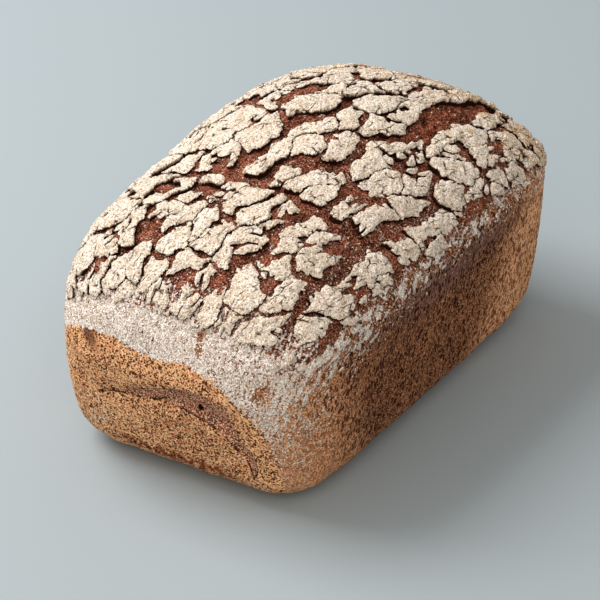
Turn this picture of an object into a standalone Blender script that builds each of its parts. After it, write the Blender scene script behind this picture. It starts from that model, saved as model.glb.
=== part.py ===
"""A buckwheat tin loaf: one solid with a flat foot, flared sides and a domed top.

The floured top crust has dried, torn and spread into raised plates with sunken cracks between them.
The crust is laid out on a flat sheet, as if it were peeled off the loaf: a runs along the loaf and b
across it, from the top of the dome down to the rim of the foot. The sheet is meshed there, with the
outline of every plate in it, and then wrapped round the loaf.

Metres, +Z up, +X along the loaf. The origin is the middle of the foot. The near end is at -X, the far
end at +X, the right side at -Y and the left side at +Y.
"""

import math
import random
from collections import namedtuple

import bmesh
import bpy
import numpy as np
from mathutils import Vector
from mathutils.geometry import delaunay_2d_cdt

# ---- the loaf -------------------------------------------------------------------------------------
Side = namedtuple("Side", "foot shoulder shoulder_height roll")

LOAF_HEIGHT = 0.1032
FOOT_ROUNDING = 0.0135  # radius between the foot and the sides
SIDES = {  # half sizes at the foot and at the widest place, and how squarely the top rolls over
    "near": Side(0.0885, 0.1028, 0.048, 2.20),
    "far": Side(0.0890, 0.1023, 0.061, 2.05),
    "right": Side(0.0510, 0.0600, 0.067, 1.50),
    "left": Side(0.0535, 0.0598, 0.065, 2.30),
}
FLARE = 0.8  # the tin's sides open fastest near the foot
FOOT_SQUARENESS = 7.0  # exponent of the plan outline at the foot: high is a square corner
TOP_SQUARENESS = 2.4
TOP_SQUARENESS_NEAR_RIGHT = 3.5  # the corner that filled the tin best

CROWN_FROM = 0.040  # the dome's unevenness fades in above this height
CROWN_RISE_ALONG = 0.010  # metres of rise for each metre towards the far end
CROWN_RISE_ACROSS = 0.027
HOLLOW_DEPTH = 0.0070  # the dip where the crust tore across the loaf
HOLLOW_MIDDLE = (-0.031, 0.022)
HOLLOW_REACH = (0.030, 0.052)

# ---- the floured crust plates ---------------------------------------------------------------------
PLATE_SEED = 11
PLATE_LENGTH = 0.0172
PLATE_WIDTH = 0.0096
PLATE_SLANT = math.radians(-14)  # the plates lie along the loaf, turned a little to the right
PLATE_SCATTER = 0.34  # how far a plate's middle strays from its place, in plates
PLATE_CLEARANCE = 0.70  # least distance from a tear's own plates, in plates
PAIR_SCATTER = (0.3, 0.7)  # where a tear's own pair sits in its share of the tear
NEIGHBOURS_WITHIN = 3.0  # only plates this near can touch, in plates
PLATE_REACH = 1.5  # half of the square a plate is cut from, in plate lengths
PLATES_TO_A_GROUP = (2.3, 2.5)  # plates hang together in groups with wider cracks round them
PLATE_THICKNESS = 0.0015
PLATE_THICKNESS_SPREAD = 0.25
PLATE_BEVEL = 0.0004  # how far a plate's rim leans in
PLATE_SINKING = 0.3  # share of a tear's depth that the plates beside it sink
LEAST_PLATE_THICKNESS = 0.0004
LEAST_PLATE_WIDTH = 0.0026
CRACKS_IN_A_GROUP = (0.0005, 0.0013)
CRACKS_ROUND_A_GROUP = (0.0017, 0.0036)
LONGEST_RIM = 0.0046  # a plate's rim bends at least this often

FLOUR_EDGES = {  # where the plates thin out, on the sheet, from bare crust to full thickness
    "near": (-0.113, -0.100),
    "far": (0.112, 0.096),
    "right": (-0.076, -0.060),
    "left": (0.080, 0.064),
}

Wave = namedtuple("Wave", "reach along across")
CRACK_WAVES = [  # how cracks stray: the reach of each wave, and its lengths on the sheet for either way
    Wave(0.0014, (0.041, 0.052), (0.047, -0.035)),
    Wave(0.0008, (0.021, -0.016), (0.017, 0.023)),
    Wave(0.0003, (0.0083, 0.0127), (0.0098, -0.0089)),
]
UNBEND_STEPS = 10

Tear = namedtuple("Tear", "width depth path")
TEARS = [  # where the crust pulled furthest apart, on the sheet
    Tear(0.0125, 0.0030, [(0.022, -0.029), (0.050, -0.027), (0.072, -0.027), (0.090, -0.034)]),
    Tear(0.0055, 0.0016, [(-0.040, 0.046), (-0.037, 0.022), (-0.036, 0.002), (-0.038, -0.024)]),
    Tear(0.0080, 0.0018, [(-0.038, -0.024), (-0.037, -0.048)]),
    Tear(0.0045, 0.0014, [(-0.078, -0.022), (-0.060, -0.021), (-0.040, -0.027)]),
    Tear(0.0058, 0.0016, [(-0.098, -0.049), (-0.070, -0.047), (-0.038, -0.048), (0.000, -0.050)]),
    Tear(0.0062, 0.0022, [(-0.036, 0.015), (-0.018, 0.014), (0.006, 0.004), (0.030, -0.001)]),
    Tear(0.0045, 0.0012, [(0.030, -0.001), (0.060, -0.013)]),
    Tear(0.0060, 0.0018, [(-0.027, 0.010), (-0.020, -0.008), (-0.006, -0.018), (0.020, -0.021)]),
    Tear(0.0032, 0.0010, [(-0.098, 0.052), (-0.088, 0.036), (-0.076, 0.018)]),
    Tear(0.0030, 0.0010, [(-0.082, 0.046), (-0.066, 0.038), (-0.040, 0.034)]),
    Tear(0.0030, 0.0012, [(-0.036, 0.045), (-0.006, 0.042), (0.030, 0.031), (0.052, 0.022)]),
    Tear(0.0034, 0.0012, [(0.006, 0.024), (0.026, 0.016), (0.044, 0.014), (0.060, 0.004)]),
]

# ---- the fold left by shaping, on the near end ----------------------------------------------------
FOLD_PATH = [(-0.143, 0.045), (-0.140, 0.012), (-0.136, -0.022), (-0.141, -0.048), (-0.158, -0.070)]
FOLD_WIDTH = 0.0085
FOLD_DEPTH = 0.0013
FOLD_CLEARANCE = 0.8  # from its floor to the sides' other points, in fold widths

# ---- the mesh -------------------------------------------------------------------------------------
FLOOR_SPACING = 0.0066  # between points on the floor of the cracks
FLOOR_CLEARANCE = 0.0024  # from there to a plate's rim
DOME_ABOVE = 0.064  # the floor's points stop at this height, and rings go on down
SIDE_RINGS = (0.060, 0.052, 0.043, 0.034, 0.025, 0.018, 0.012, 0.0075, 0.0040, 0.0014, 0.0)
PLAIN_BELOW = 0.020  # under the fold each ring is a closed line of edges
RING_POINTS = 96
RING_CORNER_GATHER = 0.045  # metres of outline that one radian of turning counts for
OUTLINE_SAMPLES = 1441
NORMAL_STEP = 0.0005
HEIGHT_SAMPLES = 2000
HEIGHT_HALVINGS = 28
SHARP_ABOVE = math.radians(32)

CRUST_COLOUR = (0.235, 0.105, 0.045, 1.0)
FLOUR_COLOUR = (0.665, 0.560, 0.415, 1.0)
CRUST_ROUGHNESS = 0.85


# ---- the loaf's form ------------------------------------------------------------------------------
def half_size(side, z):
    """Distance of a side from the loaf's middle at each height."""
    s = SIDES[side]
    below = s.foot + (s.shoulder - s.foot) * np.clip(z / s.shoulder_height, 0, 1) ** FLARE
    above = np.clip((z - s.shoulder_height) / (LOAF_HEIGHT - s.shoulder_height), 0, 1)
    rolled = s.shoulder * (1 - above**s.roll) ** (1 / s.roll)
    under = np.clip(FOOT_ROUNDING - z, 0, FOOT_ROUNDING)
    tucked = FOOT_ROUNDING - np.sqrt(FOOT_ROUNDING**2 - under**2)
    return np.where(z < s.shoulder_height, below, rolled) - tucked


def skin_tables():
    """Heights from the top down, and how far down the skin of each side they are."""
    heights = LOAF_HEIGHT * (1 - np.linspace(0, 1, HEIGHT_SAMPLES) ** 2)
    travelled = {}
    for side in SIDES:
        steps = np.hypot(np.diff(half_size(side, heights)), np.diff(heights))
        travelled[side] = np.concatenate([[0.0], np.cumsum(steps)])
    return heights, travelled


HEIGHTS, TRAVELLED = skin_tables()


def way_down(side, z):
    """Distance along the skin from the top of the dome to a height on one side."""
    return np.interp(-z, -HEIGHTS, TRAVELLED[side])


def squareness(a, b, z):
    """Exponent of the plan outline, which grows rounder towards the top."""
    at_top = np.where((a < 0) & (b < 0), TOP_SQUARENESS_NEAR_RIGHT, TOP_SQUARENESS)
    return FOOT_SQUARENESS + (at_top - FOOT_SQUARENESS) * z / LOAF_HEIGHT


def reaches(a, b, z):
    """How far the sheet reaches along and across by the time it is down at a height."""
    along = np.where(a < 0, way_down("near", z), way_down("far", z))
    across = np.where(b < 0, way_down("right", z), way_down("left", z))
    return np.maximum(along, 1e-9), np.maximum(across, 1e-9)


def height_under(a, b):
    """The height of each place on the sheet, before the dome's unevenness."""
    low = np.zeros(np.shape(a))
    high = np.full(np.shape(a), LOAF_HEIGHT)
    for _ in range(HEIGHT_HALVINGS):
        z = (low + high) / 2
        along, across = reaches(a, b, z)
        n = squareness(a, b, z)
        outside = np.abs(a / along) ** n + np.abs(b / across) ** n > 1
        high = np.where(outside, z, high)
        low = np.where(outside, low, z)
    return (low + high) / 2


def crown(x, y, z):
    """The dome's unevenness: it leans a little, and sags where the crust tore across it."""
    fade = np.clip((z - CROWN_FROM) / (LOAF_HEIGHT - CROWN_FROM), 0, 1)
    along = (x - HOLLOW_MIDDLE[0]) / HOLLOW_REACH[0]
    across = (y - HOLLOW_MIDDLE[1]) / HOLLOW_REACH[1]
    hollow = HOLLOW_DEPTH * np.exp(-(along**2) - across**2)
    return z + fade * (CROWN_RISE_ALONG * x + CROWN_RISE_ACROSS * y - hollow)


def skin(a, b):
    """The point of the loaf under each place on the sheet."""
    z = height_under(a, b)
    along, across = reaches(a, b, z)
    x = a / along * np.where(a < 0, half_size("near", z), half_size("far", z))
    y = b / across * np.where(b < 0, half_size("right", z), half_size("left", z))
    return np.stack([x, y, crown(x, y, z)], axis=-1)


def outward(a, b):
    """The skin's unit normal under each place on the sheet."""
    along = skin(a + NORMAL_STEP, b) - skin(a - NORMAL_STEP, b)
    across = skin(a, b + NORMAL_STEP) - skin(a, b - NORMAL_STEP)
    normal = np.cross(along, across)
    return normal / np.linalg.norm(normal, axis=-1, keepdims=True)


# ---- tears, folds and cracks on the sheet ---------------------------------------------------------
def distance_to_path(a, b, path):
    """Distance of each place on the sheet from a path of straight pieces."""
    nearest = np.full(np.shape(a), np.inf)
    for (a0, b0), (a1, b1) in zip(path, path[1:]):
        da, db = a1 - a0, b1 - b0
        t = np.clip(((a - a0) * da + (b - b0) * db) / (da * da + db * db), 0, 1)
        nearest = np.minimum(nearest, np.hypot(a - a0 - t * da, b - b0 - t * db))
    return nearest


def sunk(a, b):
    """How far the skin has sunk under the tears and the fold."""
    depth = np.zeros(np.shape(a))
    for tear in TEARS:
        away = distance_to_path(a, b, tear.path) / tear.width
        depth = np.maximum(depth, tear.depth * np.exp(-(away**2)))
    away = distance_to_path(a, b, FOLD_PATH) / (FOLD_WIDTH / 2)
    return np.maximum(depth, FOLD_DEPTH * np.exp(-(away**2)))


def ramp(value, start, end):
    """0 before start, 1 after end, and smooth between, where start may be the greater."""
    t = np.clip((value - start) / (end - start), 0, 1)
    return t * t * (3 - 2 * t)


def flour_depth(a, b):
    """Share of the full plate thickness: 1 over the dome and 0 where the flour only dusts the crust."""
    ends = ramp(a, *FLOUR_EDGES["near"]) * ramp(a, *FLOUR_EDGES["far"])
    return ends * ramp(b, *FLOUR_EDGES["right"]) * ramp(b, *FLOUR_EDGES["left"])


def wander(a, b):
    """How far the cracks stray from straight lines, as waves each way."""

    def waves(way):
        lengths = [(wave.reach, *getattr(wave, way)) for wave in CRACK_WAVES]
        return sum(reach * np.sin(2 * math.pi * (a / la + b / lb)) for reach, la, lb in lengths)

    return np.stack([waves("along"), waves("across")], axis=-1)


def unbend(points):
    """The places that wander carries to these points."""
    places = points.copy()
    for _ in range(UNBEND_STEPS):
        places = points - wander(places[..., 0], places[..., 1])
    return places


def crosses(p, q, path):
    """True if the straight line from p to q crosses the path."""

    def turns(o, u, v):
        return (u[0] - o[0]) * (v[1] - o[1]) - (u[1] - o[1]) * (v[0] - o[0])

    return any(
        turns(p, q, r) * turns(p, q, s) < 0 and turns(r, s, p) * turns(r, s, q) < 0
        for r, s in zip(path, path[1:])
    )


# ---- the plates -----------------------------------------------------------------------------------
LENGTHWISE = np.array([math.cos(PLATE_SLANT), math.sin(PLATE_SLANT)])
WIDTHWISE = np.array([-LENGTHWISE[1], LENGTHWISE[0]])
TO_PLATES = np.stack([LENGTHWISE / PLATE_LENGTH, WIDTHWISE / PLATE_WIDTH])  # sheet to plate counts
FROM_PLATES = np.linalg.inv(TO_PLATES)
CRACK_METRIC = TO_PLATES.T @ TO_PLATES


def beside(tear, rng):
    """Pairs of plate middles whose cracks run along a tear, one each side of it."""
    middles = []
    for start, end in zip(tear.path, tear.path[1:]):
        start, run = np.array(start), np.array(end) - np.array(start)
        length = np.linalg.norm(run)
        tangent = run / length
        normal = np.array([-tangent[1], tangent[0]])
        slide = np.linalg.solve(CRACK_METRIC, normal)
        slide /= slide @ normal
        half_plate = 0.5 / np.linalg.norm(TO_PLATES @ slide)
        step = 1 / np.linalg.norm(TO_PLATES @ tangent)
        count = max(1, round(length / step))
        for k in range(count):
            on_path = start + (k + rng.uniform(*PAIR_SCATTER)) / count * run
            for side in (-1, 1):
                middles.append(on_path + side * (tear.width / 2 + half_plate) * slide)
    return middles


def apart(point, others):
    """Distance from a point on the sheet to the nearest of some others, in plates."""
    if not others:
        return math.inf
    return np.linalg.norm((np.array(others) - point) @ TO_PLATES.T, axis=1).min()


def corners_of_flour():
    """The corners of the sheet's floured part, and a plate beyond."""
    low = np.array([FLOUR_EDGES["near"][0], FLOUR_EDGES["right"][0]]) - PLATE_LENGTH
    high = np.array([FLOUR_EDGES["far"][0], FLOUR_EDGES["left"][0]]) + PLATE_LENGTH
    return low, high


def strayed_lattice(spacing, rng):
    """A brick lattice over the floured part with every place strayed at random."""
    low, high = corners_of_flour()
    box = np.array([(low[0], low[1]), (high[0], low[1]), (high[0], high[1]), (low[0], high[1])])
    counts = box @ TO_PLATES.T / spacing
    first, last = np.floor(counts.min(axis=0)), np.ceil(counts.max(axis=0))
    places = []
    for row in range(int(first[1]), int(last[1]) + 1):
        for column in range(int(first[0]), int(last[0]) + 1):
            stray = [rng.uniform(-PLATE_SCATTER, PLATE_SCATTER) for _ in range(2)]
            place = FROM_PLATES @ (np.array([column + row % 2 / 2 + stray[0], row + stray[1]]) * spacing)
            if (place > low).all() and (place < high).all():
                places.append(place)
    return places


def plate_middles(rng):
    """Plate middles on the sheet: pairs along every tear, and a strayed lattice between them."""
    middles = []
    for tear in TEARS:
        for place in beside(tear, rng):
            if apart(place, middles) > PLATE_CLEARANCE and not torn_away(place):
                middles.append(place)
    paired = list(middles)
    for place in strayed_lattice(np.ones(2), rng):
        if apart(place, paired) > PLATE_CLEARANCE and not torn_away(place):
            middles.append(place)
    return np.array(middles)


def torn_away(place):
    """True for a place inside a tear."""
    return any(distance_to_path(*place, tear.path) < tear.width / 2 for tear in TEARS)


def crack_width(here, there, same_group, rng):
    """The crack between two plates: narrow in a group, wider round it and widest in a tear."""
    width = rng.uniform(*(CRACKS_IN_A_GROUP if same_group else CRACKS_ROUND_A_GROUP))
    torn = [tear.width for tear in TEARS if crosses(here, there, tear.path)]
    return max([width, *torn])


def crack_widths(middles, rng):
    """{(i, j): width} for every two plates that are near enough to touch."""
    heads = np.array(strayed_lattice(np.array(PLATES_TO_A_GROUP), rng))
    to_heads = np.linalg.norm((middles[:, None] - heads[None]) @ TO_PLATES.T / PLATES_TO_A_GROUP, axis=2)
    groups = to_heads.argmin(axis=1)
    widths = {}
    for i, here in enumerate(middles):
        gaps = np.linalg.norm((middles - here) @ TO_PLATES.T, axis=1)
        for j in np.flatnonzero(gaps < NEIGHBOURS_WITHIN):
            if j > i:
                widths[i, j] = widths[j, i] = crack_width(here, middles[j], groups[i] == groups[j], rng)
    return widths


def cut(outline, point, normal):
    """The part of a convex outline behind a line through point."""
    kept = []
    sides = [float((corner - point) @ normal) for corner in outline]
    for k, corner in enumerate(outline):
        before = k - 1
        if (sides[before] < 0) != (sides[k] < 0):
            t = sides[before] / (sides[before] - sides[k])
            kept.append(outline[before] + t * (corner - outline[before]))
        if sides[k] < 0:
            kept.append(corner)
    return kept


def plate_outline(i, middles, widths, inset):
    """A plate's corners on the bent sheet: its own side of every crack round it."""
    reach = PLATE_REACH * PLATE_LENGTH
    outline = [middles[i] + reach * np.array(c) for c in ((-1, -1), (1, -1), (1, 1), (-1, 1))]
    for (here, there), width in widths.items():
        if here == i:
            normal = CRACK_METRIC @ (middles[there] - middles[here])
            normal /= np.linalg.norm(normal)
            halfway = (middles[here] + middles[there]) / 2
            outline = cut(outline, halfway - normal * (width / 2 + inset), normal)
            if len(outline) < 3:
                return None
    return with_bends(without_short_sides(np.array(outline)))


def with_bends(outline):
    """The outline with points added where a side is long enough to bend."""
    bent = []
    for corner, following in zip(outline, np.roll(outline, -1, axis=0)):
        pieces = math.ceil(np.linalg.norm(following - corner) / LONGEST_RIM)
        bent += [corner + k / pieces * (following - corner) for k in range(pieces)]
    return np.array(bent)


def without_short_sides(outline):
    """Corners closer together than the plate's bevel made one."""
    kept = [outline[0]]
    for corner in outline[1:]:
        if np.linalg.norm(corner - kept[-1]) > PLATE_BEVEL:
            kept.append(corner)
    if np.linalg.norm(kept[-1] - kept[0]) <= PLATE_BEVEL:
        kept.pop()
    return np.array(kept)


def narrowness(outline):
    """Four times the area over the perimeter, which is the width of a square plate."""
    following = np.roll(outline, -1, axis=0)
    area = (outline[:, 0] * following[:, 1] - outline[:, 1] * following[:, 0]).sum() / 2
    return 4 * area / np.linalg.norm(following - outline, axis=1).sum()


Plate = namedtuple("Plate", "foot top thickness")


def plates():
    """Every plate that shows, with its outline at the foot and at the top on the sheet."""
    rng = random.Random(PLATE_SEED)
    middles = plate_middles(rng)
    widths = crack_widths(middles, rng)
    spreads = [1 + rng.uniform(-PLATE_THICKNESS_SPREAD, PLATE_THICKNESS_SPREAD) for _ in middles]
    found = []
    for i, middle in enumerate(middles):
        thickness = PLATE_THICKNESS * spreads[i] * float(flour_depth(*middle))
        if thickness < LEAST_PLATE_THICKNESS:
            continue
        foot = plate_outline(i, middles, widths, 0.0)
        top = plate_outline(i, middles, widths, PLATE_BEVEL)
        if foot is None or top is None or len(top) < 3 or narrowness(top) < LEAST_PLATE_WIDTH:
            continue
        found.append(Plate(unbend(foot), unbend(top), thickness))
    return found


# ---- the mesh -------------------------------------------------------------------------------------
class Sheet:
    """Points on the flat sheet with their lift above the skin, and the lines that faces must keep to."""

    def __init__(self):
        self.points, self.lifts, self.lines = [], [], []

    def add(self, outline, lift, closed=True):
        first = len(self.points)
        for a, b in outline:
            self.points.append((a, b))
            self.lifts.append(lift)
        if closed:
            last = len(self.points)
            self.lines += [(k, k + 1 if k + 1 < last else first) for k in range(first, last)]


def inside(point, outline):
    """True if the point is inside a closed outline."""
    odd = False
    for (a0, b0), (a1, b1) in zip(outline, np.roll(outline, -1, axis=0)):
        if (b0 > point[1]) != (b1 > point[1]) and point[0] < a0 + (point[1] - b0) / (b1 - b0) * (a1 - a0):
            odd = not odd
    return odd


def clear_of(point, found):
    """True if a point on the sheet is on the floor, clear of every plate."""
    for plate in found:
        if np.abs(plate.foot - point).max(axis=1).min() > PLATE_LENGTH:
            continue
        ring = np.vstack([plate.foot, plate.foot[:1]])
        if inside(point, plate.foot) or distance_to_path(*point, ring) < FLOOR_CLEARANCE:
            return False
    return True


def ring(height):
    """Points round the sheet at one height of the loaf, closer together where the outline turns."""
    turn = np.linspace(0, 2 * math.pi, OUTLINE_SAMPLES)
    a, b = np.cos(turn), np.sin(turn)
    along, across = reaches(a, b, height)
    n = squareness(a, b, height)
    scale = (np.abs(a / along) ** n + np.abs(b / across) ** n) ** (-1 / n)
    outline = np.stack([a * scale, b * scale], axis=-1)
    steps = np.diff(outline, axis=0)
    headings = np.unwrap(np.arctan2(steps[:, 1], steps[:, 0]))
    turning = np.abs(np.diff(headings, append=headings[0] + 2 * math.pi))
    measure = np.concatenate([[0.0], np.cumsum(np.linalg.norm(steps, axis=1) + RING_CORNER_GATHER * turning)])
    stops = np.arange(RING_POINTS) / RING_POINTS * measure[-1]
    return np.stack([np.interp(stops, measure, outline[:, k]) for k in range(2)], axis=-1)


def floor_points(found):
    """A lattice over the top of the loaf, where no plate lies on it."""
    row_gap = FLOOR_SPACING * math.sqrt(3) / 2
    low, high = corners_of_flour()
    points = []
    for row in range(int(low[1] / row_gap), int(high[1] / row_gap) + 1):
        for column in range(int(low[0] / FLOOR_SPACING), int(high[0] / FLOOR_SPACING) + 1):
            point = np.array([(column + row % 2 / 2) * FLOOR_SPACING, row * row_gap])
            if height_under(*point) > DOME_ABOVE and clear_of(point, found):
                points.append(point)
    return points


def fold_lines():
    """The near end's fold: its floor, and its lip on either side."""
    path = np.array(FOLD_PATH)
    steps = np.gradient(path, axis=0)
    normals = np.stack([-steps[:, 1], steps[:, 0]], axis=-1) / np.linalg.norm(steps, axis=1)[:, None]
    return [path + side * FOLD_WIDTH / 2 * normals for side in (-1, 0, 1)]


def laid_out(found):
    """The whole crust on the flat sheet: plates, crack floors, sides and the near end's fold."""
    sheet = Sheet()
    for plate in found:
        sheet.add(plate.foot, 0.0)
        sheet.add(plate.top, plate.thickness)
    sheet.add(floor_points(found), 0.0, closed=False)
    for line in fold_lines():
        sheet.add(line, 0.0, closed=False)
    for height in SIDE_RINGS:
        points = ring(height)
        if height < PLAIN_BELOW:
            sheet.add(points, 0.0)
            continue
        off_fold = distance_to_path(points[:, 0], points[:, 1], FOLD_PATH) > FOLD_WIDTH * FOLD_CLEARANCE
        sheet.add([p for p in points[off_fold] if clear_of(p, found)], 0.0, closed=False)
    return sheet


def wrapped(sheet):
    """A mesh of the sheet's triangles, wrapped round the loaf and closed by a flat foot."""
    flat = [Vector(p) for p in sheet.points]
    corners, _, triangles, sources, _, _ = delaunay_2d_cdt(flat, sheet.lines, [], 0, 1e-7)
    a, b = np.array(corners).T
    lifts = np.array([sheet.lifts[source[0]] if source else 0.0 for source in sources])
    # The plates keep to the loaf's own skin, and only the floor between them sinks.
    height = np.where(lifts > 0, lifts - PLATE_SINKING * sunk(a, b), -sunk(a, b))
    places = skin(a, b) + outward(a, b) * height[:, None]

    mesh = bmesh.new()
    vertices = [mesh.verts.new(place) for place in places]
    for triangle in triangles:
        face = mesh.faces.new([vertices[k] for k in triangle])
        face.material_index = int(all(lifts[k] > 0 for k in triangle))
        face.smooth = True
    rim = [edge for edge in mesh.edges if edge.is_boundary]
    for vertex in {vertex for edge in rim for vertex in edge.verts}:
        vertex.co.z = 0.0
    foot = bmesh.ops.contextual_create(mesh, geom=rim)["faces"]
    bmesh.ops.triangulate(mesh, faces=foot)
    bmesh.ops.recalc_face_normals(mesh, faces=mesh.faces)
    return mesh


def centred(mesh):
    """Moves the loaf so that the origin is under the middle of its outer box."""
    places = np.array([vertex.co for vertex in mesh.verts])
    middle = (places.min(axis=0) + places.max(axis=0)) / 2
    bmesh.ops.translate(mesh, verts=mesh.verts, vec=(-middle[0], -middle[1], 0.0))


# ---- the object -----------------------------------------------------------------------------------
def material(name, colour):
    made = bpy.data.materials.new(name)
    made.use_nodes = True
    shader = made.node_tree.nodes["Principled BSDF"]
    shader.inputs["Base Color"].default_value = colour
    shader.inputs["Roughness"].default_value = CRUST_ROUGHNESS
    shader.inputs["Metallic"].default_value = 0.0
    return made


def build_loaf():
    mesh = wrapped(laid_out(plates()))
    centred(mesh)
    data = bpy.data.meshes.new("loaf")
    mesh.to_mesh(data)
    mesh.free()
    data.materials.append(material("baked_crust", CRUST_COLOUR))
    data.materials.append(material("floured_crust", FLOUR_COLOUR))
    data.set_sharp_from_angle(angle=SHARP_ABOVE)
    loaf = bpy.data.objects.new("loaf", data)
    bpy.context.scene.collection.objects.link(loaf)


def main():
    for old in list(bpy.data.objects):
        bpy.data.objects.remove(old, do_unlink=True)
    build_loaf()


main()
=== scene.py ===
import math
import random
from functools import partial

import bpy
import numpy as np
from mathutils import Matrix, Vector
from mathutils.bvhtree import BVHTree


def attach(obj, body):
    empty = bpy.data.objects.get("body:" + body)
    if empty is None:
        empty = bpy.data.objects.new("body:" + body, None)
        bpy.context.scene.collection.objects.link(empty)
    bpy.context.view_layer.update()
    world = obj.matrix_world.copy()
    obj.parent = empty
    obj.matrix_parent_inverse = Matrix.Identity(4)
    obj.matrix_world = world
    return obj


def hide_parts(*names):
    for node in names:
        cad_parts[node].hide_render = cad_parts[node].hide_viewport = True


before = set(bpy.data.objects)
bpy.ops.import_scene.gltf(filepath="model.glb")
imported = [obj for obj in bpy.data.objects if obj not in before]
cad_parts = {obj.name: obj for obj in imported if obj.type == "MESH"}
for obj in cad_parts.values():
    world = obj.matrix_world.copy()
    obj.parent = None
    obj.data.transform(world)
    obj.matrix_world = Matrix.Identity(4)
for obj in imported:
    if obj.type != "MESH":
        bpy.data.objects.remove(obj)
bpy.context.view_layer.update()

# A buckwheat tin loaf. Lengths are metres. Everything on the crust is placed on a flat sheet, as if the
# crust were peeled off: p runs along the loaf, q across it, and both are 0 on top of the dome.


# the loaf's form, the same as the solid's
loafForm = {
    "height": 0.1032,
    "footRounding": 0.0135,
    # foot half size, shoulder half size, shoulder height, how squarely the top rolls over
    "near": (0.0885, 0.1028, 0.048, 2.20),
    "far": (0.0890, 0.1023, 0.061, 2.05),
    "right": (0.0510, 0.0600, 0.067, 1.50),
    "left": (0.0535, 0.0598, 0.065, 2.30),
    "flare": 0.8,
    "footSquareness": 7.0,
    "topSquareness": 2.4,
    "topSquarenessNearRight": 3.5,
    "crownFrom": 0.040,
    "riseAlong": 0.010,
    "riseAcross": 0.027,
    "hollowDepth": 0.0070,
    "hollowMiddle": (-0.031, 0.022),
    "hollowReach": (0.030, 0.052),
}


def ramp(value, start, end):
    t = np.clip((value - start) / (end - start), 0, 1)  # start may be the greater
    return t * t * (3 - 2 * t)


def halfSize(side, z):
    foot, shoulder, shoulderHeight, roll = loafForm[side]
    rounding = loafForm["footRounding"]
    below = foot + (shoulder - foot) * np.clip(z / shoulderHeight, 0, 1) ** loafForm["flare"]
    above = np.clip((z - shoulderHeight) / (loafForm["height"] - shoulderHeight), 0, 1)
    rolled = shoulder * (1 - above**roll) ** (1 / roll)
    under = np.clip(rounding - z, 0, rounding)
    return np.where(z < shoulderHeight, below, rolled) - (rounding - np.sqrt(rounding**2 - under**2))


def skinTables():
    heights = loafForm["height"] * (1 - np.linspace(0, 1, 2000) ** 2)
    travelled = {}
    for side in ("near", "far", "right", "left"):
        steps = np.hypot(np.diff(halfSize(side, heights)), np.diff(heights))
        travelled[side] = np.concatenate([[0.0], np.cumsum(steps)])
    return heights, travelled


skinHeights, skinTravelled = skinTables()


def wayDown(side, z):
    return np.interp(-z, -skinHeights, skinTravelled[side])  # along the skin from the top of the dome


def squareness(p, q, z):
    atTop = np.where((p < 0) & (q < 0), loafForm["topSquarenessNearRight"], loafForm["topSquareness"])
    return loafForm["footSquareness"] + (atTop - loafForm["footSquareness"]) * z / loafForm["height"]


def reaches(p, q, z):
    along = np.where(p < 0, wayDown("near", z), wayDown("far", z))
    across = np.where(q < 0, wayDown("right", z), wayDown("left", z))
    return np.maximum(along, 1e-9), np.maximum(across, 1e-9)


def heightUnder(p, q):
    low = np.zeros(np.shape(p))
    high = np.full(np.shape(p), loafForm["height"])
    for _ in range(24):  # halves the search each time
        z = (low + high) / 2
        along, across = reaches(p, q, z)
        n = squareness(p, q, z)
        outside = np.abs(p / along) ** n + np.abs(q / across) ** n > 1
        high = np.where(outside, z, high)
        low = np.where(outside, low, z)
    return (low + high) / 2


def atHeight(p, q, z):
    # the loaf's point for a place on the sheet whose height is known, with the dome's lean and hollow
    along, across = reaches(p, q, z)
    x = p / along * np.where(p < 0, halfSize("near", z), halfSize("far", z))
    y = q / across * np.where(q < 0, halfSize("right", z), halfSize("left", z))
    fade = np.clip((z - loafForm["crownFrom"]) / (loafForm["height"] - loafForm["crownFrom"]), 0, 1)
    hollowX = (x - loafForm["hollowMiddle"][0]) / loafForm["hollowReach"][0]
    hollowY = (y - loafForm["hollowMiddle"][1]) / loafForm["hollowReach"][1]
    hollow = loafForm["hollowDepth"] * np.exp(-(hollowX**2) - hollowY**2)
    lifted = z + fade * (loafForm["riseAlong"] * x + loafForm["riseAcross"] * y - hollow)
    return np.stack([x, y, lifted], axis=-1)


def tabulateSkin(low, high, step):
    # the skin's points and directions, worked out once on a grid and read between its lines after that
    counts = np.round((np.array(high) - low) / step).astype(int)
    p, q = np.meshgrid(low[0] + np.arange(counts[0]) * step, low[1] + np.arange(counts[1]) * step, indexing="ij")
    points = atHeight(p, q, heightUnder(p, q))
    normals = np.cross(np.gradient(points, axis=0), np.gradient(points, axis=1))
    normals /= np.linalg.norm(normals, axis=-1, keepdims=True)
    return np.array(low), step, np.concatenate([points, normals], axis=-1)


def fromSkin(table, p, q):
    low, step, values = table
    u, v = (p - low[0]) / step, (q - low[1]) / step
    i = np.clip(np.floor(u).astype(int), 0, values.shape[0] - 2)
    j = np.clip(np.floor(v).astype(int), 0, values.shape[1] - 2)
    f, g = (u - i)[:, None], (v - j)[:, None]
    nearer = values[i, j] * (1 - f) + values[i + 1, j] * f
    farther = values[i, j + 1] * (1 - f) + values[i + 1, j + 1] * f
    found = nearer * (1 - g) + farther * g
    return found[:, :3], found[:, 3:]


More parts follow.
